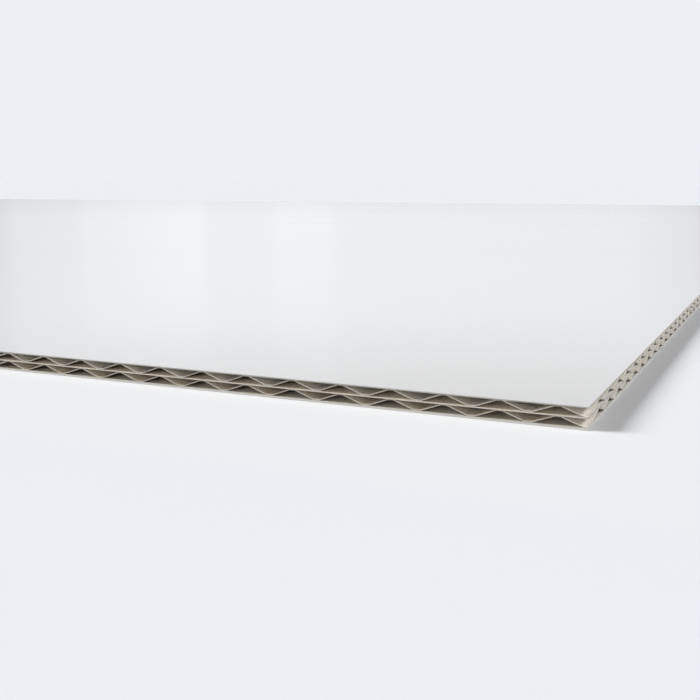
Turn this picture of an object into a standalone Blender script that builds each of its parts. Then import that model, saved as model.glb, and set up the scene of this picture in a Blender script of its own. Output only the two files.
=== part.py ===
"""Aluminium composite panel with a two-storey folded core.

A large flat panel, lying on its back. Two skins enclose two folded sheets, one above
the other, with a flat sheet between them. Metres, +Z up. The origin is on the floor
under the panel's centre, +X runs along its length and +Y across its width. The folds
run along Y, so the front and back edges show the zigzag. Short cross pleats close the
last fold at the right-hand edge.
"""

import bpy
import bmesh
from mathutils import Vector

# The panel
PANEL_LENGTH = 2.050
PANEL_WIDTH = 1.525
PANEL_THICKNESS = 0.004

# The sheets it is made of
TOP_SKIN_THICKNESS = 0.00025
BOTTOM_SKIN_THICKNESS = 0.0004
MIDDLE_SHEET_THICKNESS = 0.0002
FOLDED_SHEET_THICKNESS = 0.00015
BOND_LINE = 0.00005

# The fold, which repeats along the length and starts in the middle of a valley
FOLD_PITCH = 0.010
FOLD_FLAT = 0.0012

# The cross pleats, which repeat along the right-hand edge
PLEAT_PITCH = 0.0096

# Worked out from the sizes above
LEFT = -PANEL_LENGTH / 2
RIGHT = PANEL_LENGTH / 2
FRONT = -PANEL_WIDTH / 2
BACK = PANEL_WIDTH / 2
FLAT_SHEETS = TOP_SKIN_THICKNESS + MIDDLE_SHEET_THICKNESS + BOTTOM_SKIN_THICKNESS
STOREY_HEIGHT = (PANEL_THICKNESS - FLAT_SHEETS) / 2
LOWER_STOREY_Z = BOTTOM_SKIN_THICKNESS
MIDDLE_SHEET_Z = LOWER_STOREY_Z + STOREY_HEIGHT
UPPER_STOREY_Z = MIDDLE_SHEET_Z + MIDDLE_SHEET_THICKNESS
TOP_SKIN_Z = PANEL_THICKNESS - TOP_SKIN_THICKNESS
FOLD_RISE = STOREY_HEIGHT - 2 * BOND_LINE - FOLDED_SHEET_THICKNESS
FOLD_COUNT = max(1, round(PANEL_LENGTH / FOLD_PITCH))
FOLD_LENGTH = PANEL_LENGTH / FOLD_COUNT
PLEAT_COUNT = max(1, round(PANEL_WIDTH / PLEAT_PITCH) - 1)
PLEAT_LENGTH = PANEL_WIDTH / (PLEAT_COUNT + 1)

# Colour as linear RGB, roughness and metallic value of each material
WHITE_COATING = ((0.83, 0.85, 0.87), 0.25, 0.0)
PRIMED_ALUMINIUM = ((0.62, 0.59, 0.53), 0.60, 0.0)
MILL_ALUMINIUM = ((0.70, 0.71, 0.73), 0.40, 1.0)


def clear_scene():
    for item in list(bpy.data.objects):
        bpy.data.objects.remove(item, do_unlink=True)


def make_material(name, look):
    color, roughness, metallic = look
    material = bpy.data.materials.new(name)
    material.use_nodes = True
    shader = material.node_tree.nodes["Principled BSDF"]
    shader.inputs["Base Color"].default_value = (*color, 1.0)
    shader.inputs["Roughness"].default_value = roughness
    shader.inputs["Metallic"].default_value = metallic
    return material


def add_piece(name, shape, underside_z, look):
    """Turn a bmesh, whose underside is at z = 0, into an object at its height."""
    bmesh.ops.recalc_face_normals(shape, faces=shape.faces)
    mesh = bpy.data.meshes.new(name)
    shape.to_mesh(mesh)
    shape.free()
    mesh.materials.append(make_material(name, look))
    piece = bpy.data.objects.new(name, mesh)
    piece.location.z = underside_z
    bpy.context.scene.collection.objects.link(piece)
    return piece


def thicken(shape, thickness):
    """Give an open surface its thickness, straight up."""
    grown = bmesh.ops.extrude_face_region(shape, geom=shape.faces)
    upper = [item for item in grown["geom"] if isinstance(item, bmesh.types.BMVert)]
    bmesh.ops.translate(shape, vec=Vector((0.0, 0.0, thickness)), verts=upper)


def flat_sheet(name, thickness, underside_z, look):
    """A flat sheet over the whole panel."""
    shape = bmesh.new()
    bmesh.ops.create_grid(shape, x_segments=1, y_segments=1, size=0.5)
    size = Vector((PANEL_LENGTH, PANEL_WIDTH, 1.0))
    bmesh.ops.scale(shape, vec=size, verts=shape.verts)
    thicken(shape, thickness)
    return add_piece(name, shape, underside_z, look)


def fold_line():
    """The straight folds as (x, z) points, from the left edge to the last crest.

    z is 0 in the valleys and FOLD_RISE on the crests. The line starts halfway along a
    valley's flat and ends where the last crest's flat begins.
    """
    half_flat = FOLD_FLAT / 2
    points = [(LEFT, 0.0)]
    for fold in range(FOLD_COUNT):
        valley = LEFT + fold * FOLD_LENGTH
        crest = valley + FOLD_LENGTH / 2
        if fold > 0:
            points.append((valley - half_flat, 0.0))
        points.append((valley + half_flat, 0.0))
        points.append((crest - half_flat, FOLD_RISE))
        if fold < FOLD_COUNT - 1:
            points.append((crest + half_flat, FOLD_RISE))
    return points


def pleat_line():
    """The cross pleats as (y, z) points along the right-hand edge, front to back.

    The edge lies in the valley at both corners and rises to a ridge at each pleat.
    """
    points = [(FRONT, 0.0)]
    for pleat in range(PLEAT_COUNT):
        ridge = FRONT + (pleat + 1) * PLEAT_LENGTH
        points.append((ridge - PLEAT_LENGTH / 2, 0.0))
        points.append((ridge, FOLD_RISE))
    points.append((BACK - PLEAT_LENGTH / 2, 0.0))
    points.append((BACK, 0.0))
    return points


def straight_folds(shape):
    """Sweep the fold line from front to back, and return its last edge's two ends."""
    line = [shape.verts.new((x, FRONT, z)) for x, z in fold_line()]
    edges = [shape.edges.new(pair) for pair in zip(line, line[1:])]
    swept = bmesh.ops.extrude_edge_only(shape, edges=edges)
    moved = [item for item in swept["geom"] if isinstance(item, bmesh.types.BMVert)]
    bmesh.ops.translate(shape, vec=Vector((0.0, PANEL_WIDTH, 0.0)), verts=moved)
    back_end = max(moved, key=lambda vert: vert.co.x)
    return line[-1], back_end


def pleated_edge(shape, front_start, back_start):
    """The last crest, its web and the pleats that cross the web and its valley.

    Each pleat is a ridge that leads from the last crest straight out to the edge.
    """
    crest_x = RIGHT - FOLD_LENGTH / 2 + FOLD_FLAT / 2
    valley_x = RIGHT - FOLD_FLAT / 2
    crest_front = shape.verts.new((crest_x, FRONT, FOLD_RISE))
    crest_back = shape.verts.new((crest_x, BACK, FOLD_RISE))
    crest = [crest_front]
    web = [crest_front]
    inner_before = outer_before = None
    for y, z in pleat_line():
        inner = shape.verts.new((crest_x if z > 0 else valley_x, y, z))
        outer = shape.verts.new((RIGHT, y, z))
        if inner_before:
            shape.faces.new((inner_before, outer_before, outer, inner))
        web.append(inner)
        if z > 0:
            shape.faces.new(web)
            crest.append(inner)
            web = [inner]
        inner_before = inner
        outer_before = outer
    shape.faces.new((*web, crest_back))
    shape.faces.new((*crest, crest_back, back_start, front_start))


def folded_sheet(name, storey_z, look):
    """A folded sheet that fills the storey above storey_z but for its two bond lines."""
    shape = bmesh.new()
    front_start, back_start = straight_folds(shape)
    pleated_edge(shape, front_start, back_start)
    thicken(shape, FOLDED_SHEET_THICKNESS)
    return add_piece(name, shape, storey_z + BOND_LINE, look)


def main():
    clear_scene()
    flat_sheet("bottom_skin", BOTTOM_SKIN_THICKNESS, 0.0, MILL_ALUMINIUM)
    folded_sheet("lower_folded_sheet", LOWER_STOREY_Z, PRIMED_ALUMINIUM)
    flat_sheet("middle_sheet", MIDDLE_SHEET_THICKNESS, MIDDLE_SHEET_Z, PRIMED_ALUMINIUM)
    folded_sheet("upper_folded_sheet", UPPER_STOREY_Z, PRIMED_ALUMINIUM)
    flat_sheet("top_skin", TOP_SKIN_THICKNESS, TOP_SKIN_Z, WHITE_COATING)


if __name__ == "__main__":
    main()
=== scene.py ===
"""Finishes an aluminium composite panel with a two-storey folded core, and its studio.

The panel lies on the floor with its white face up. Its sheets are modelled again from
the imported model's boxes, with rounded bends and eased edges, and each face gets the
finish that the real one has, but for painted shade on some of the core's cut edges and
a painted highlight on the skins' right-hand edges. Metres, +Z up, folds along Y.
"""

import math

import bmesh
import bpy
from mathutils import Euler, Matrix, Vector


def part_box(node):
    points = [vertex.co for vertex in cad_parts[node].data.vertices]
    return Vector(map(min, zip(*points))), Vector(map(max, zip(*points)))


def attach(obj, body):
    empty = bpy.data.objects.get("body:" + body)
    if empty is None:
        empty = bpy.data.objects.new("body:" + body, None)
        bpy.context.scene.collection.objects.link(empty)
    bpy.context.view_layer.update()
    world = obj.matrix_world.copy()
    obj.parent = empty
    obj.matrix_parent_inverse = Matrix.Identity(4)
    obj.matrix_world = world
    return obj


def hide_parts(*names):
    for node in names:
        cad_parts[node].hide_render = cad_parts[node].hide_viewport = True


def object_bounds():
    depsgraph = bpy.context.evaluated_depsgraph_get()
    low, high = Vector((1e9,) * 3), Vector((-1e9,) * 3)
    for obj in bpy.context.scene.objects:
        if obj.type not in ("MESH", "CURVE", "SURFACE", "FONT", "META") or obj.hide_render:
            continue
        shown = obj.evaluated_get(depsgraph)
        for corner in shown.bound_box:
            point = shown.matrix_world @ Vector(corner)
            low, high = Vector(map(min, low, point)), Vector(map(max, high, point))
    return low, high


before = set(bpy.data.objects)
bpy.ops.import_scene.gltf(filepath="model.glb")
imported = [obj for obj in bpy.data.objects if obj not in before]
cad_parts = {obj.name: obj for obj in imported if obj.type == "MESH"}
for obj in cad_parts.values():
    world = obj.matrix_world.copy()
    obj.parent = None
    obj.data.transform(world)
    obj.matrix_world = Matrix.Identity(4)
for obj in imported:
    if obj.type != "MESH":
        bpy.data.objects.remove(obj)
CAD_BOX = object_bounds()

bl_info = {
    "name": "Composite Panel with Folded Core",
    "version": (1, 0, 0),
    "blender": (4, 5, 0),
    "location": "3D View > Sidebar > Composite Panel",
    "description": "Models, finishes and lights a panel of two skins round a folded core",
    "category": "Object",
}

PANEL_LOW, PANEL_HIGH = (Vector(corner) for corner in CAD_BOX)

# Vertices this close are one vertex
MERGE_DISTANCE = 0.00002

# Faces that turn by less than the first lie in one plane, and those that turn by more
# than the second meet in a bend, which is rounded in so many segments
SAME_PLANE = math.radians(1.0)
SMALLEST_BEND = math.radians(5.0)
ROUNDING_SEGMENTS = 2

# A face counts as facing along an axis if that part of its normal is past this
FACING = 0.5

# Keeps the floor just clear of the panel's underside
FLOOR_CLEARANCE = 0.00001

# Order of the materials on every sheet
UPPER_FACE = 0
LOWER_FACE = 1
CUT_EDGE = 2

# More of them on the folded sheets
# Crests' cut edges, dark brown with painted shade of the sheet above
SHADED_CREST_EDGE = 3
# Valleys' cut edges, a slightly darker grey
DARKER_VALLEY_EDGE = 4
# Cut edges of the webs that rise to the right, darker with painted shade
SHADED_RISING_EDGE = 5

# More of them on the flat sheets
# Skins' right-hand edges, brighter with a painted highlight
HIGHLIGHT_EDGE = 3
PLEAT_STRIP = 4

# A Mix node's colour sockets, whose names its other kinds of socket share
MIX_FIRST = 6
MIX_SECOND = 7
MIX_RESULT = 2

# Nearly all of a noise texture's values lie between these
NOISE_LOW = 0.3
NOISE_HIGH = 0.7

MM_PER_METRE = 1000.0

# What the gloss shows of the studio is brightest low down behind the panel. First, how
# bright it is at each height above the horizon, in degrees
GLOW_BY_HEIGHT = (
    (0.0, 0.87),
    (2.0, 0.89),
    (2.9, 0.922),
    (4.0, 0.97),
    (6.2, 1.0),
    (7.4, 0.995),
    (8.6, 0.945),
    (9.8, 0.85),
    (10.9, 0.74),
    (12.1, 0.53),
    (12.8, 0.41),
    (14.0, 0.37),
)

# Second, how bright it is at each turn from the width direction to the left, in degrees,
# with one soft box from 26 to 29 and the next from 33.5 to 40
GLOW_BY_TURN = (
    (3.0, 0.70),
    (6.0, 0.795),
    (7.3, 0.84),
    (9.0, 0.888),
    (12.5, 0.899),
    (22.0, 0.915),
    (25.6, 0.935),
    (26.2, 0.982),
    (29.2, 0.988),
    (29.6, 0.948),
    (33.1, 0.944),
    (33.6, 0.998),
    (35.3, 0.988),
    (38.4, 0.94),
    (40.2, 0.914),
    (40.5, 0.874),
    (42.4, 0.855),
    (43.8, 0.832),
    (44.4, 0.765),
    (45.4, 0.72),
)

# What both are spread over, in degrees
GLOW_SPAN = 90.0


# Sizes and colours


def linear(hex_colour):
    """An sRGB hex colour as linear red, green and blue."""
    channels = [int(hex_colour[i : i + 2], 16) / 255 for i in (1, 3, 5)]
    return tuple(
        c / 12.92 if c <= 0.04045 else ((c + 0.055) / 1.055) ** 2.4 for c in channels
    )


def colour_property(name, description, hex_colour):
    """A colour that a user can change."""
    return bpy.props.FloatVectorProperty(
        name=name,
        description=description,
        subtype="COLOR",
        default=linear(hex_colour),
        min=0.0,
        max=1.0,
    )


class PanelSizes(bpy.types.PropertyGroup):
    """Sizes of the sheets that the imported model's boxes don't give."""

    fold_pitch: bpy.props.FloatProperty(
        name="Fold pitch",
        description="Distance from one valley of the core to the next",
        default=0.010,
        min=0.004,
        unit="LENGTH",
    )
    fold_flat: bpy.props.FloatProperty(
        name="Fold flat",
        description="Width of the flat on each crest and valley, where it is bonded",
        default=0.0012,
        min=0.0002,
        unit="LENGTH",
    )
    pleat_pitch: bpy.props.FloatProperty(
        name="Pleat pitch",
        description="Distance between the cross pleats of the right-hand edge",
        default=0.0096,
        min=0.004,
        unit="LENGTH",
    )
    folded_thickness: bpy.props.FloatProperty(
        name="Folded sheet thickness",
        description="Thickness of the two folded sheets",
        default=0.00015,
        min=0.00005,
        unit="LENGTH",
    )
    recess: bpy.props.FloatProperty(
        name="Recess",
        description="How far the saw leaves the folded sheets behind the flat ones",
        default=0.0001,
        min=0.0,
        unit="LENGTH",
    )
    glue_film: bpy.props.FloatProperty(
        name="Glue film",
        description="How far the folds reach into the bond line, which the glue fills",
        default=0.00004,
        min=0.0,
        max=0.00005,
        unit="LENGTH",
    )
    bend_offset: bpy.props.FloatProperty(
        name="Bend rounding",
        description="How far from a fold its rounding begins",
        default=0.00006,
        min=0.00002,
        unit="LENGTH",
    )
    edge_easing: bpy.props.FloatProperty(
        name="Edge easing",
        description="Rounding that the saw and file leave on a flat sheet's edges",
        default=0.00004,
        min=0.00001,
        unit="LENGTH",
    )


class PanelFinishes(bpy.types.PropertyGroup):
    """Colours of the sheets."""

    coating: colour_property("Coil coating", "White of the coated face", "#EAEAEA")
    core_primer: colour_property(
        "Core primer", "Warm grey of the folded sheets", "#E0DCD5"
    )
    inner_primer: colour_property(
        "Lower storey primer",
        "Browner grey of the lower folded sheet's upper side",
        "#E0D7C8",
    )
    divider_primer: colour_property(
        "Middle sheet primer",
        "Browner grey of the flat sheet between the storeys",
        "#DCD2C0",
    )
    skin_primer: colour_property(
        "Top skin primer", "Warm grey of the top skin's inner face", "#DDD6C5"
    )
    back_primer: colour_property(
        "Bottom skin primer", "Deeper grey of the bottom skin's inner face", "#C6C0B2"
    )
    strip_primer: colour_property(
        "Bottom strip primer",
        "Grey of the bottom skin's strip that shows between the pleats",
        "#CAC6BF",
    )
    core_edge: colour_property(
        "Core edge", "Pale warm grey of the core sheets' cut edges", "#B3AEA5"
    )
    # Painted shade: the cut edges of the webs that rise to the right are darker than those
    # of the webs that fall
    shaded_rising_edge: colour_property(
        "Dulled edge",
        "Duller grey of the webs' cut edges that rise to the right",
        "#A39E96",
    )
    # Painted shade: the crests' cut edges are dark brown, as in the shadow of the sheet
    # above
    shaded_crest_edge: colour_property(
        "Glued edge",
        "Brown of the adhesive that the saw smears over the crests' cut edges",
        "#7E776B",
    )
    # The valleys' cut edges are a slightly darker grey than the other core edges
    darker_valley_edge: colour_property(
        "Rubbed edge",
        "Grey of the valleys' cut edges, which the file has rubbed",
        "#A8A399",
    )
    # Painted highlight: the skins' right-hand cut edges are a brighter grey than their
    # other cut edges, as if lit from the right
    highlight_top_edge: colour_property(
        "Filed top edge",
        "Brighter grey of the top skin's right-hand edge, which is filed",
        "#C6C4BD",
    )
    highlight_back_edge: colour_property(
        "Filed bottom edge",
        "Bright grey of the bottom skin's right-hand edge, which is filed",
        "#D4D3D0",
    )
    skin_edge: colour_property(
        "Top skin edge", "Dull grey of the top skin's cut edges", "#9C9A95"
    )
    back_edge: colour_property(
        "Bottom skin edge", "Pale cool grey of the bottom skin's cut edges", "#BAB8B3"
    )
    mill_aluminium: colour_property(
        "Mill aluminium", "Bare metal of the back", "#D9DADC"
    )


class PanelStudio(bpy.types.PropertyGroup):
    """Camera, floor and lights."""

    camera_offset: bpy.props.FloatVectorProperty(
        name="Camera place",
        description="From the front right-hand top corner of the panel to the camera",
        subtype="TRANSLATION",
        unit="LENGTH",
        default=(0.030234, -0.157331, 0.036153),
    )
    camera_pitch: bpy.props.FloatProperty(
        name="Camera pitch",
        description="How far the camera looks down",
        default=math.radians(9.738),
        unit="ROTATION",
    )
    camera_heading: bpy.props.FloatProperty(
        name="Camera heading",
        description="How far the camera turns to the left of the width direction",
        default=math.radians(24.963),
        unit="ROTATION",
    )
    camera_lens: bpy.props.FloatProperty(
        name="Lens",
        description="Focal length on a 36 mm sensor",
        default=50.12,
        min=10.0,
        unit="CAMERA",
    )
    backdrop: colour_property(
        "Backdrop", "Pale cool grey of the floor and of everything behind it", "#ECF0F3"
    )
    # Painted tint of the shadow: close to the panel the floor is a more neutral grey, so
    # that the panel's shadow there is neutral grey
    near_floor: colour_property(
        "Floor by the panel",
        "Slightly warmer grey of the floor close to the panel",
        "#EEEFF1",
    )
    near_floor_reach: bpy.props.FloatProperty(
        name="Near floor reach",
        description="How far from the panel the floor keeps its warmer grey",
        default=0.02,
        min=0.0,
        unit="LENGTH",
    )
    near_floor_fade: bpy.props.FloatProperty(
        name="Near floor fade",
        description="How far from the panel the warmer grey has faded out",
        default=0.07,
        min=0.0,
        unit="LENGTH",
    )
    floor_reach: bpy.props.FloatProperty(
        name="Floor reach",
        description="How far the floor reaches from the middle of the panel",
        default=40.0,
        min=1.0,
        unit="LENGTH",
    )
    soft_boxes: colour_property(
        "Soft boxes", "White of the soft boxes that the gloss shows", "#F9FBFE"
    )
    ambient: bpy.props.FloatProperty(
        name="Ambient",
        description="Strength of the even light from all round",
        default=0.07,
        min=0.0,
    )
    key_strength: bpy.props.FloatProperty(
        name="Key light",
        description="Strength of the key light, from the left",
        default=3.53,
        min=0.0,
    )
    key_elevation: bpy.props.FloatProperty(
        name="Key light height",
        description="Angle of the key light above the floor",
        default=math.radians(31.0),
        unit="ROTATION",
    )
    key_turn: bpy.props.FloatProperty(
        name="Key light turn",
        description="How far the key light stands in front of the left-hand side",
        default=math.radians(13.0),
        unit="ROTATION",
    )
    spread: bpy.props.FloatProperty(
        name="Spread",
        description="Angle across each light but the front one, which softens the shadow",
        default=math.radians(24.0),
        unit="ROTATION",
    )
    side_strength: bpy.props.FloatProperty(
        name="Side light",
        description="Strength of the light from the right",
        default=1.28,
        min=0.0,
    )
    side_elevation: bpy.props.FloatProperty(
        name="Side light height",
        description="Angle of the light from the right above the floor",
        default=math.radians(42.0),
        unit="ROTATION",
    )
    core_strength: bpy.props.FloatProperty(
        name="Core light",
        description="Strength of the light on the right that only the core receives",
        default=1.2,
        min=0.0,
    )
    core_elevation: bpy.props.FloatProperty(
        name="Core light height",
        description="Angle of the core light above the floor",
        default=math.radians(47.0),
        unit="ROTATION",
    )
    core_turn: bpy.props.FloatProperty(
        name="Core light turn",
        description="How far the core light stands behind the right-hand side",
        default=math.radians(24.0),
        unit="ROTATION",
    )
    front_strength: bpy.props.FloatProperty(
        name="Front light",
        description="Strength of the light from the front",
        default=1.5,
        min=0.0,
    )
    front_elevation: bpy.props.FloatProperty(
        name="Front light height",
        description="Angle of the front light above the floor",
        default=math.radians(9.0),
        unit="ROTATION",
    )
    front_spread: bpy.props.FloatProperty(
        name="Front light spread",
        description="Angle across the front light",
        default=math.radians(32.0),
        unit="ROTATION",
    )


# Materials


def add_node(tree, kind, settings=None, inputs=None):
    """Add a node, give it its settings, and set or link its inputs.

    An input is a value, an output socket, or a node whose first output is linked.
    """
    node = tree.nodes.new(kind)
    for name, value in (settings or {}).items():
        setattr(node, name, value)
    for socket, value in (inputs or {}).items():
        if isinstance(value, bpy.types.Node):
            value = value.outputs[0]
        if isinstance(value, bpy.types.NodeSocket):
            tree.links.new(value, node.inputs[socket])
        else:
            node.inputs[socket].default_value = value
    return node


def grain(tree, size_mm, detail, low, high):
    """A grain of size_mm along X, Y and Z, with values spread from low to high."""
    place = add_node(tree, "ShaderNodeTexCoord")
    scaled = add_node(
        tree,
        "ShaderNodeMapping",
        inputs={
            "Vector": place.outputs["Object"],
            "Scale": tuple(MM_PER_METRE / size for size in size_mm),
        },
    )
    noise = add_node(
        tree,
        "ShaderNodeTexNoise",
        inputs={"Vector": scaled, "Scale": 1.0, "Detail": detail},
    )
    spread = add_node(
        tree,
        "ShaderNodeMapRange",
        inputs={
            "Value": noise.outputs["Fac"],
            "From Min": NOISE_LOW,
            "From Max": NOISE_HIGH,
            "To Min": low,
            "To Max": high,
        },
    )
    return spread.outputs["Result"]


def finish(name, colour, shade, rough, relief, metallic=0.0):
    """A material from a colour and from the arguments of three grains.

    shade multiplies the colour, rough is the roughness, and relief is a height in metres.
    """
    material = bpy.data.materials.new(name)
    material.use_nodes = True
    tree = material.node_tree
    shader = tree.nodes["Principled BSDF"]
    shader.inputs["Metallic"].default_value = metallic
    tinted = add_node(
        tree,
        "ShaderNodeHueSaturation",
        inputs={"Color": (*colour, 1.0), "Value": grain(tree, **shade)},
    )
    bump = add_node(
        tree,
        "ShaderNodeBump",
        inputs={"Height": grain(tree, **relief), "Distance": 1.0, "Strength": 1.0},
    )
    tree.links.new(tinted.outputs["Color"], shader.inputs["Base Color"])
    tree.links.new(grain(tree, **rough), shader.inputs["Roughness"])
    tree.links.new(bump.outputs["Normal"], shader.inputs["Normal"])
    return material


def coil_coating(colour):
    """Polyester coil coating, rolled on in a long line and baked.

    It is smooth and glossy, with a faint orange peel and fainter streaks along the
    line, so that what it reflects at a low angle stays soft.
    """
    return finish(
        "polyester_coil_coating",
        colour,
        shade=dict(size_mm=(240.0, 90.0, 90.0), detail=1.0, low=0.997, high=1.003),
        rough=dict(size_mm=(180.0, 120.0, 120.0), detail=1.0, low=0.103, high=0.107),
        relief=dict(size_mm=(2.6, 2.2, 2.2), detail=1.0, low=0.0, high=0.00000006),
    )


def core_primer(name, colour):
    """Wash primer on aluminium foil, a warm matt grey.

    It has a slight mottle, drawn out along the folds.
    """
    return finish(
        name,
        colour,
        shade=dict(size_mm=(1.2, 6.0, 1.2), detail=3.0, low=0.95, high=1.04),
        rough=dict(size_mm=(1.0, 5.0, 1.0), detail=2.0, low=0.50, high=0.62),
        relief=dict(size_mm=(0.35, 1.5, 0.35), detail=2.0, low=0.0, high=0.0000024),
    )


def skin_primer(name, colour):
    """Back coat of the skins, a thin matt grey that the adhesive holds to."""
    return finish(
        name,
        colour,
        shade=dict(size_mm=(4.0, 4.0, 4.0), detail=3.0, low=0.95, high=1.04),
        rough=dict(size_mm=(2.0, 2.0, 2.0), detail=2.0, low=0.45, high=0.58),
        relief=dict(size_mm=(0.8, 0.8, 0.8), detail=2.0, low=0.0, high=0.0000024),
    )


def sawn_edge(name, colour):
    """Sawn sheet edge, with the saw's fine upright lines.

    They are finer than a tenth of a millimetre, which the render can't show, so they are
    drawn 0.5 mm apart.
    """
    return finish(
        name,
        colour,
        shade=dict(size_mm=(0.5, 0.5, 1.5), detail=2.0, low=0.93, high=1.05),
        rough=dict(size_mm=(0.4, 0.4, 1.2), detail=2.0, low=0.42, high=0.60),
        relief=dict(size_mm=(0.35, 0.35, 2.0), detail=2.0, low=0.0, high=0.000004),
    )


def shaded_crest_edge(colour):
    """Crest edge in a dark brown grain, painted shade of the sheet that lies over the
    crest.
    """
    return finish(
        "painted_shade_crest_edge",
        colour,
        shade=dict(size_mm=(0.8, 0.8, 0.4), detail=3.0, low=0.85, high=1.10),
        rough=dict(size_mm=(0.5, 0.5, 0.3), detail=2.0, low=0.35, high=0.60),
        relief=dict(size_mm=(0.5, 0.5, 0.3), detail=2.0, low=0.0, high=0.000006),
    )


def mill_finish(colour):
    """Bare rolled aluminium, with the rolls' long fine lines along the sheet.

    Rolled lines are finer than the render can show, so they are drawn 1 to 2 mm apart.
    """
    return finish(
        "mill_finish_aluminium",
        colour,
        shade=dict(size_mm=(120.0, 1.6, 1.6), detail=3.0, low=0.96, high=1.03),
        rough=dict(size_mm=(90.0, 1.1, 1.1), detail=3.0, low=0.30, high=0.46),
        relief=dict(size_mm=(60.0, 0.6, 0.6), detail=2.0, low=0.0, high=0.0000016),
        metallic=1.0,
    )


# Modelling


def new_verts(result):
    """The vertices that a bmesh operator has made."""
    return [item for item in result["geom"] if isinstance(item, bmesh.types.BMVert)]


def merge(shape):
    """Join the vertices that meet."""
    bmesh.ops.remove_doubles(shape, verts=shape.verts, dist=MERGE_DISTANCE)


def join_flat_faces(shape):
    """Turn the faces one way, and join those that lie in one plane."""
    bmesh.ops.recalc_face_normals(shape, faces=shape.faces)
    bmesh.ops.dissolve_limit(
        shape, angle_limit=SAME_PLANE, verts=shape.verts, edges=shape.edges
    )


def round_edges(shape, edges, offset):
    """Round edges, from an offset to each side of them."""
    bmesh.ops.bevel(
        shape,
        geom=edges,
        offset=offset,
        offset_type="OFFSET",
        segments=ROUNDING_SEGMENTS,
        profile=0.5,
        affect="EDGES",
        material=-1,
        clamp_overlap=True,
    )


def sweep(shape, points, y, length):
    """Sweep a line of (x, z) points along Y."""
    line = [shape.verts.new((x, y, z)) for x, z in points]
    edges = [shape.edges.new(pair) for pair in zip(line, line[1:])]
    swept = bmesh.ops.extrude_edge_only(shape, edges=edges)
    bmesh.ops.translate(shape, vec=(0.0, length, 0.0), verts=new_verts(swept))


def repeat(shape, step, times):
    """Repeat all of a shape, one step further each time."""
    bmesh.ops.spin(
        shape,
        geom=[*shape.verts, *shape.edges, *shape.faces],
        cent=(0.0, 0.0, 0.0),
        axis=(0.0, 0.0, 1.0),
        dvec=step,
        angle=0.0,
        steps=times - 1,
        use_duplicate=True,
    )


def add_shape(shape, other):
    """Add another shape's mesh to a shape, and free the other."""
    carrier = bpy.data.meshes.new("carrier")
    other.to_mesh(carrier)
    other.free()
    shape.from_mesh(carrier)
    bpy.data.meshes.remove(carrier)


class Fold:
    """The places of a folded sheet's bends, from its box and the sizes."""

    def __init__(self, low, high, sizes):
        # In at the front and back by the recess, and out into the bond lines
        inward = Vector((0.0, sizes.recess, -sizes.glue_film))
        self.low = low + inward
        self.high = high - inward
        self.thickness = sizes.folded_thickness
        self.rise = self.high.z - self.low.z - self.thickness
        self.count = max(1, round((high.x - low.x) / sizes.fold_pitch))
        self.pitch = (high.x - low.x) / self.count
        self.flat = sizes.fold_flat
        self.pleats = max(1, round((high.y - low.y) / sizes.pleat_pitch) - 1)
        self.pleat = (high.y - low.y) / (self.pleats + 1)
        self.crest_x = high.x - self.pitch / 2 + self.flat / 2
        self.valley_x = high.x - self.flat / 2


def straight_folds(fold):
    """The folds from the left edge to the last crest, swept from front to back."""
    shape = bmesh.new()
    half = fold.flat / 2
    width = fold.high.y - fold.low.y

    def half_fold(x):
        return [(x, 0.0), (x + half, 0.0), (x + fold.pitch / 2 - half, fold.rise)]

    def whole_fold(x):
        return half_fold(x) + [
            (x + fold.pitch / 2 + half, fold.rise),
            (x + fold.pitch - half, 0.0),
            (x + fold.pitch, 0.0),
        ]

    sweep(shape, whole_fold(fold.low.x), fold.low.y, width)
    repeat(shape, (fold.pitch, 0.0, 0.0), fold.count - 1)
    sweep(shape, half_fold(fold.high.x - fold.pitch), fold.low.y, width)
    merge(shape)
    return shape


def one_pleat(fold, y):
    """A ridge from the last crest out to the edge, with half the web on each side.

    y is where it begins.
    """
    shape = bmesh.new()
    length = fold.high.x - fold.valley_x
    centre = Vector((fold.valley_x + length / 2, y + fold.pleat / 2, 0.0))
    bmesh.ops.create_grid(shape, x_segments=1, y_segments=2, size=0.5)
    bmesh.ops.scale(shape, vec=(length, fold.pleat, 1.0), verts=shape.verts)
    bmesh.ops.translate(shape, vec=centre, verts=shape.verts)
    inner = [e for e in shape.edges if all(v.co.x < centre.x for v in e.verts)]
    ridge = [v for v in shape.verts if abs(v.co.y - centre.y) < MERGE_DISTANCE]
    bmesh.ops.translate(shape, vec=(0.0, 0.0, fold.rise), verts=ridge)
    min(ridge, key=lambda vert: vert.co.x).co.x = fold.crest_x
    for vert in new_verts(bmesh.ops.extrude_edge_only(shape, edges=inner)):
        vert.co.x = fold.crest_x
        vert.co.z = fold.rise
    merge(shape)
    return shape


def pleated_edge(fold):
    """The last crest and the pleats that close its web, from front to back.

    In both corners the web and the valley run on plain for half a pleat.
    """
    shape = one_pleat(fold, fold.low.y + fold.pleat / 2)
    repeat(shape, (0.0, fold.pleat, 0.0), fold.pleats)
    corner = [(fold.crest_x, fold.rise), (fold.valley_x, 0.0), (fold.high.x, 0.0)]
    for y in (fold.low.y, fold.high.y - fold.pleat / 2):
        sweep(shape, corner, y, fold.pleat / 2)
    merge(shape)
    crest = [
        edge
        for edge in shape.edges
        if all(abs(v.co.x - fold.crest_x) < MERGE_DISTANCE for v in edge.verts)
    ]
    grown = bmesh.ops.extrude_edge_only(shape, edges=crest)
    bmesh.ops.translate(shape, vec=(-fold.flat, 0.0, 0.0), verts=new_verts(grown))
    join_flat_faces(shape)
    return shape


def mark_faces(shape):
    """Give each face its material by the way it faces, and keep the cut edges crisp."""
    for face in shape.faces:
        if abs(face.normal.z) < FACING:
            face.material_index = CUT_EDGE
        else:
            face.material_index = UPPER_FACE if face.normal.z > 0 else LOWER_FACE
            face.smooth = True
    for edge in shape.edges:
        cut = any(face.material_index == CUT_EDGE for face in edge.link_faces)
        edge.smooth = not cut


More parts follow.
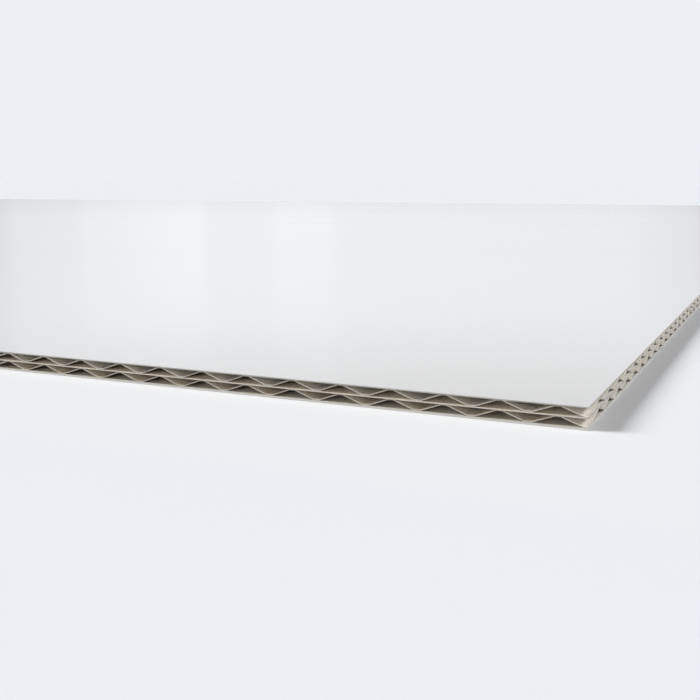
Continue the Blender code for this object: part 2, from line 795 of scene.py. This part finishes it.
def mark_folds(shape, fold):
    """Give the pleats one finish on both sides, and tell the folds' cut edges apart.

    Front and back, the crests' edges are dark with painted shade of the sheet above, the
    valleys' edges are a slightly darker grey, and the webs' that rise to the right get
    painted shade.
    """
    crest = fold.low.z + fold.rise - MERGE_DISTANCE
    valley = fold.low.z + fold.thickness + MERGE_DISTANCE
    for face in shape.faces:
        if abs(face.normal.y) < FACING:
            pleat = min(vert.co.x for vert in face.verts) > fold.crest_x - fold.flat
            if pleat and face.material_index == UPPER_FACE:
                face.material_index = LOWER_FACE
            continue
        lowest = min(face.verts, key=lambda vert: vert.co.z).co
        highest = max(face.verts, key=lambda vert: vert.co.z).co
        # Crests' edges get painted shade
        if lowest.z > crest:
            face.material_index = SHADED_CREST_EDGE
        # Valleys' edges get a slightly darker grey
        elif highest.z < valley:
            face.material_index = DARKER_VALLEY_EDGE
        # Webs that rise to the right get painted shade
        elif highest.x > lowest.x:
            face.material_index = SHADED_RISING_EDGE


def folded_sheet_shape(fold, sizes):
    """A folded sheet with rounded bends, its underside at the floor of its box."""
    shape = straight_folds(fold)
    add_shape(shape, pleated_edge(fold))
    merge(shape)
    join_flat_faces(shape)
    bends = [
        edge
        for edge in shape.edges
        if len(edge.link_faces) == 2 and edge.calc_face_angle() > SMALLEST_BEND
    ]
    round_edges(shape, bends, sizes.bend_offset)
    grown = bmesh.ops.extrude_face_region(shape, geom=shape.faces)
    bmesh.ops.translate(shape, vec=(0.0, 0.0, fold.thickness), verts=new_verts(grown))
    bmesh.ops.translate(shape, vec=(0.0, 0.0, fold.low.z), verts=shape.verts)
    bmesh.ops.recalc_face_normals(shape, faces=shape.faces)
    mark_faces(shape)
    mark_folds(shape, fold)
    return shape


def flat_sheet_shape(low, high, easing):
    """A flat sheet between two corners, its edges eased."""
    shape = bmesh.new()
    bmesh.ops.create_cube(shape, size=1.0)
    bmesh.ops.scale(shape, vec=high - low, verts=shape.verts)
    bmesh.ops.translate(shape, vec=(high + low) / 2, verts=shape.verts)
    round_edges(shape, shape.edges, easing)
    mark_faces(shape)
    return shape


def mark_highlight_edge(shape):
    """Give a skin's right-hand edge its own brighter finish, a painted highlight."""
    for face in shape.faces:
        if face.normal.x > FACING:
            face.material_index = HIGHLIGHT_EDGE


def mark_pleat_strip(shape, sizes):
    """Give the strip that shows between the right-hand pleats a finish of its own.

    It is a quarter of a fold wide.
    """
    start = PANEL_HIGH.x - sizes.fold_pitch / 4
    bmesh.ops.bisect_plane(
        shape,
        geom=[*shape.verts, *shape.edges, *shape.faces],
        plane_co=(start, 0.0, 0.0),
        plane_no=(1.0, 0.0, 0.0),
    )
    for face in shape.faces:
        past_start = min(vert.co.x for vert in face.verts) > start - MERGE_DISTANCE
        if past_start and face.material_index == UPPER_FACE:
            face.material_index = PLEAT_STRIP


def add_sheet(name, node, shape, materials):
    """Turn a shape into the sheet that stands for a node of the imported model."""
    mesh = bpy.data.meshes.new(name)
    shape.to_mesh(mesh)
    shape.free()
    for material in materials:
        mesh.materials.append(material)
    sheet = bpy.data.objects.new(name, mesh)
    bpy.context.scene.collection.objects.link(sheet)
    level = sheet.modifiers.new("flats_stay_flat", "WEIGHTED_NORMAL")
    level.keep_sharp = True
    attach(sheet, "root")
    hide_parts(node)
    return sheet


# Studio


def distance_from_panel(tree, near, far):
    """How far a place on the floor is from the panel, as a factor from near to far."""
    place = add_node(tree, "ShaderNodeTexCoord")
    axes = add_node(
        tree, "ShaderNodeSeparateXYZ", inputs={"Vector": place.outputs["Object"]}
    )
    past = []
    for axis, edge in (("X", PANEL_HIGH.x), ("Y", PANEL_HIGH.y)):
        away = add_node(
            tree, "ShaderNodeMath", {"operation": "ABSOLUTE"}, {0: axes.outputs[axis]}
        )
        past.append(
            add_node(
                tree, "ShaderNodeMath", {"operation": "SUBTRACT"}, {0: away, 1: edge}
            )
        )
    farthest = add_node(
        tree, "ShaderNodeMath", {"operation": "MAXIMUM"}, {0: past[0], 1: past[1]}
    )
    factor = add_node(
        tree,
        "ShaderNodeMapRange",
        {"interpolation_type": "SMOOTHSTEP"},
        {"Value": farthest, "From Min": near, "From Max": far},
    )
    return factor.outputs["Result"]


def add_floor(studio):
    """A wide pale floor, matt, so that it keeps the panel's shadow and shows no gloss."""
    shape = bmesh.new()
    bmesh.ops.create_grid(shape, x_segments=1, y_segments=1, size=studio.floor_reach)
    mesh = bpy.data.meshes.new("studio_floor")
    shape.to_mesh(mesh)
    shape.free()
    floor = bpy.data.objects.new("studio_floor", mesh)
    floor.location.z = PANEL_LOW.z - FLOOR_CLEARANCE
    bpy.context.scene.collection.objects.link(floor)
    material = bpy.data.materials.new("matt_floor_paint")
    material.use_nodes = True
    tree = material.node_tree
    shader = tree.nodes["Principled BSDF"]
    # Close to the panel the floor is a more neutral grey, a painted tint for the panel's
    # shadow
    distance = distance_from_panel(tree, studio.near_floor_reach, studio.near_floor_fade)
    colour = add_node(
        tree,
        "ShaderNodeMix",
        {"data_type": "RGBA"},
        {
            "Factor": distance,
            MIX_FIRST: (*studio.near_floor, 1.0),
            MIX_SECOND: (*studio.backdrop, 1.0),
        },
    )
    tree.links.new(colour.outputs[MIX_RESULT], shader.inputs["Base Color"])
    shader.inputs["Roughness"].default_value = 1.0
    shader.inputs["Specular IOR Level"].default_value = 0.0
    mesh.materials.append(material)


def shine(side, elevation, turn):
    """The way a light shines: side is 1 from the left and -1 from the right."""
    flat = math.cos(elevation)
    return Vector(
        (side * flat * math.cos(turn), flat * math.sin(turn), -math.sin(elevation))
    )


def add_sun(name, strength, travel, spread, lit=()):
    """A large distant light without a highlight of its own in the gloss.

    Where lit names pieces, flags keep the light off everything else.
    """
    data = bpy.data.lights.new(name, "SUN")
    data.energy = strength
    data.angle = spread
    sun = bpy.data.objects.new(name, data)
    sun.rotation_euler = travel.to_track_quat("-Z", "Y").to_euler()
    sun.visible_glossy = False
    bpy.context.scene.collection.objects.link(sun)
    if lit:
        receivers = bpy.data.collections.new(name + "_receivers")
        for piece in lit:
            receivers.objects.link(bpy.data.objects[piece])
        sun.light_linking.receiver_collection = receivers


def profile(tree, angle, stops):
    """The brightness at an angle, from stops of (degrees, brightness)."""
    share = add_node(
        tree,
        "ShaderNodeMath",
        {"operation": "DIVIDE"},
        {0: angle, 1: math.radians(GLOW_SPAN)},
    )
    ramp = add_node(tree, "ShaderNodeValToRGB", inputs={"Fac": share})
    elements = ramp.color_ramp.elements
    # New stops start halfway along, and then each one goes to its own place
    while len(elements) < len(stops):
        elements.new(0.5)
    for element, (degrees, level) in zip(elements, stops):
        element.position = degrees / GLOW_SPAN
        element.color = (level, level, level, 1.0)
    return ramp


def studio_glow(tree):
    """What a glossy surface meets in each direction, by height and by turn."""
    way = add_node(tree, "ShaderNodeTexCoord")
    axes = add_node(
        tree, "ShaderNodeSeparateXYZ", inputs={"Vector": way.outputs["Generated"]}
    )
    height = add_node(
        tree, "ShaderNodeMath", {"operation": "ARCSINE"}, {0: axes.outputs["Z"]}
    )
    left = add_node(
        tree, "ShaderNodeMath", {"operation": "MULTIPLY"}, {0: axes.outputs["X"], 1: -1.0}
    )
    turn = add_node(
        tree, "ShaderNodeMath", {"operation": "ARCTAN2"}, {0: left, 1: axes.outputs["Y"]}
    )
    by_height = profile(tree, height, GLOW_BY_HEIGHT)
    by_turn = profile(tree, turn, GLOW_BY_TURN)
    return add_node(
        tree, "ShaderNodeMath", {"operation": "MULTIPLY"}, {0: by_height, 1: by_turn}
    )


def add_world(studio):
    """The pale backdrop for the camera, the studio's glow for gloss, and an even light.

    The even light is the same all round, so it isn't sampled as a light of its own.
    """
    world = bpy.data.worlds.new("studio")
    bpy.context.scene.world = world
    world.use_nodes = True
    world.cycles.sampling_method = "NONE"
    tree = world.node_tree
    path = add_node(tree, "ShaderNodeLightPath")
    gloss = add_node(
        tree,
        "ShaderNodeMath",
        {"operation": "MAXIMUM"},
        {0: path.outputs["Is Glossy Ray"], 1: path.outputs["Is Transmission Ray"]},
    )
    glow = add_node(
        tree, "ShaderNodeMath", {"operation": "MULTIPLY"}, {0: studio_glow(tree), 1: gloss}
    )
    seen = add_node(
        tree,
        "ShaderNodeMath",
        {"operation": "MAXIMUM"},
        {0: glow, 1: path.outputs["Is Camera Ray"]},
    )
    strength = add_node(
        tree, "ShaderNodeMath", {"operation": "MAXIMUM"}, {0: seen, 1: studio.ambient}
    )
    colour = add_node(
        tree,
        "ShaderNodeMix",
        {"data_type": "RGBA"},
        {
            "Factor": path.outputs["Is Camera Ray"],
            MIX_FIRST: (*studio.soft_boxes, 1.0),
            MIX_SECOND: (*studio.backdrop, 1.0),
        },
    )
    background = tree.nodes["Background"]
    tree.links.new(colour.outputs[MIX_RESULT], background.inputs["Color"])
    tree.links.new(strength.outputs["Value"], background.inputs["Strength"])


def add_camera(studio):
    """The camera at the photograph's place, placed from the panel's near top corner."""
    data = bpy.data.cameras.new("photo_camera")
    data.lens = studio.camera_lens
    data.sensor_width = 36.0
    data.clip_start = 0.001
    data.clip_end = 100.0
    camera = bpy.data.objects.new("photo_camera", data)
    corner = Vector((PANEL_HIGH.x, PANEL_LOW.y, PANEL_HIGH.z))
    camera.location = corner + Vector(studio.camera_offset)
    camera.rotation_euler = Euler(
        (math.pi / 2 - studio.camera_pitch, 0.0, studio.camera_heading)
    )
    bpy.context.scene.collection.objects.link(camera)
    bpy.context.scene.camera = camera


# Operators


class COMPOSITE_OT_top_skin(bpy.types.Operator):
    """Model the coated top skin."""

    bl_idname = "composite.top_skin"
    bl_label = "Top skin"

    def execute(self, context):
        sizes = context.scene.panel_sizes
        finishes = context.scene.panel_finishes
        shape = flat_sheet_shape(*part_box("top_skin"), sizes.edge_easing)
        mark_highlight_edge(shape)
        coating = coil_coating(finishes.coating)
        primer = skin_primer("grey_back_coat", finishes.skin_primer)
        edge = sawn_edge("sawn_coated_edge", finishes.skin_edge)
        # Painted highlight on the right-hand edge
        highlighted = sawn_edge("highlight_coated_edge", finishes.highlight_top_edge)
        materials = (coating, primer, edge, highlighted)
        add_sheet("coated_skin", "top_skin", shape, materials)
        return {"FINISHED"}


class COMPOSITE_OT_folded_sheets(bpy.types.Operator):
    """Model the folded sheets of the two storeys."""

    bl_idname = "composite.folded_sheets"
    bl_label = "Folded sheets"

    def execute(self, context):
        sizes = context.scene.panel_sizes
        finishes = context.scene.panel_finishes
        primer = core_primer("wash_primed_folds", finishes.core_primer)
        edge = sawn_edge("sawn_fold_edge", finishes.core_edge)
        # Painted shade on the crests' cut edges
        shaded_crest = shaded_crest_edge(finishes.shaded_crest_edge)
        # A slightly darker grey on the valleys' cut edges
        darkened = sawn_edge("darker_valley_cut_edge", finishes.darker_valley_edge)
        # Painted shade on the cut edges of the webs that rise to the right
        shaded_rising = sawn_edge("painted_shade_web_edge", finishes.shaded_rising_edge)
        browner = core_primer("wash_primed_inner_side", finishes.inner_primer)
        edges = (edge, shaded_crest, darkened, shaded_rising)
        for storey, upper_side in (("upper", primer), ("lower", browner)):
            node = storey + "_folded_sheet"
            fold = Fold(*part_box(node), sizes)
            shape = folded_sheet_shape(fold, sizes)
            materials = (upper_side, primer, *edges)
            add_sheet(storey + "_core", node, shape, materials)
        return {"FINISHED"}


class COMPOSITE_OT_middle_sheet(bpy.types.Operator):
    """Model the flat sheet between the two storeys."""

    bl_idname = "composite.middle_sheet"
    bl_label = "Middle sheet"

    def execute(self, context):
        sizes = context.scene.panel_sizes
        finishes = context.scene.panel_finishes
        shape = flat_sheet_shape(*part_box("middle_sheet"), sizes.edge_easing)
        mark_pleat_strip(shape, sizes)
        primer = core_primer("wash_primed_divider", finishes.divider_primer)
        edge = sawn_edge("sawn_divider_edge", finishes.core_edge)
        strip = core_primer("wash_primed_divider_strip", finishes.core_primer)
        materials = (primer, primer, edge, edge, strip)
        add_sheet("core_divider", "middle_sheet", shape, materials)
        return {"FINISHED"}


class COMPOSITE_OT_bottom_skin(bpy.types.Operator):
    """Model the bare bottom skin."""

    bl_idname = "composite.bottom_skin"
    bl_label = "Bottom skin"

    def execute(self, context):
        sizes = context.scene.panel_sizes
        finishes = context.scene.panel_finishes
        shape = flat_sheet_shape(*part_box("bottom_skin"), sizes.edge_easing)
        mark_highlight_edge(shape)
        mark_pleat_strip(shape, sizes)
        mill = mill_finish(finishes.mill_aluminium)
        edge = sawn_edge("sawn_back_edge", finishes.back_edge)
        primer = skin_primer("warm_grey_back_coat", finishes.back_primer)
        # Painted highlight on the right-hand edge
        highlighted = sawn_edge("highlight_back_edge", finishes.highlight_back_edge)
        strip = core_primer("wash_primed_back_strip", finishes.strip_primer)
        materials = (primer, mill, edge, highlighted, strip)
        add_sheet("mill_skin", "bottom_skin", shape, materials)
        return {"FINISHED"}


class COMPOSITE_OT_stage(bpy.types.Operator):
    """Set up the floor, the lights, the backdrop and the camera."""

    bl_idname = "composite.stage"
    bl_label = "Stage"

    def execute(self, context):
        studio = context.scene.panel_studio
        add_floor(studio)
        add_world(studio)
        left = shine(1.0, studio.key_elevation, studio.key_turn)
        right = shine(-1.0, studio.side_elevation, 0.0)
        behind = shine(-1.0, studio.core_elevation, -studio.core_turn)
        front = shine(0.0, studio.front_elevation, math.pi / 2)
        core = ("upper_core", "lower_core", "core_divider", "mill_skin")
        add_sun("key_light", studio.key_strength, left, studio.spread)
        add_sun("side_light", studio.side_strength, right, studio.spread)
        add_sun("core_light", studio.core_strength, behind, studio.spread, core)
        add_sun("front_light", studio.front_strength, front, studio.front_spread)
        add_camera(studio)
        context.scene.view_settings.view_transform = "Standard"
        return {"FINISHED"}


class COMPOSITE_PT_sidebar(bpy.types.Panel):
    """The panel's sizes, finishes and pieces."""

    bl_idname = "COMPOSITE_PT_sidebar"
    bl_label = "Composite Panel"
    bl_space_type = "VIEW_3D"
    bl_region_type = "UI"
    bl_category = "Composite Panel"

    def draw(self, context):
        scene = context.scene
        for title, group in (
            ("Sizes", scene.panel_sizes),
            ("Finishes", scene.panel_finishes),
            ("Studio", scene.panel_studio),
        ):
            box = self.layout.box()
            box.label(text=title)
            for name in group.__annotations__:
                box.prop(group, name)
        column = self.layout.column(align=True)
        for operator in OPERATORS:
            column.operator(operator.bl_idname)


GROUPS = {
    "panel_sizes": PanelSizes,
    "panel_finishes": PanelFinishes,
    "panel_studio": PanelStudio,
}
OPERATORS = (
    COMPOSITE_OT_top_skin,
    COMPOSITE_OT_folded_sheets,
    COMPOSITE_OT_middle_sheet,
    COMPOSITE_OT_bottom_skin,
    COMPOSITE_OT_stage,
)
CLASSES = (*GROUPS.values(), *OPERATORS, COMPOSITE_PT_sidebar)


def register():
    for item in CLASSES:
        bpy.utils.register_class(item)
    for name, group in GROUPS.items():
        setattr(bpy.types.Scene, name, bpy.props.PointerProperty(type=group))


def unregister():
    for name in GROUPS:
        delattr(bpy.types.Scene, name)
    for item in reversed(CLASSES):
        bpy.utils.unregister_class(item)


def main():
    register()
    bpy.ops.composite.top_skin()
    bpy.ops.composite.folded_sheets()
    bpy.ops.composite.middle_sheet()
    bpy.ops.composite.bottom_skin()
    bpy.ops.composite.stage()


if __name__ == "__main__":
    main()
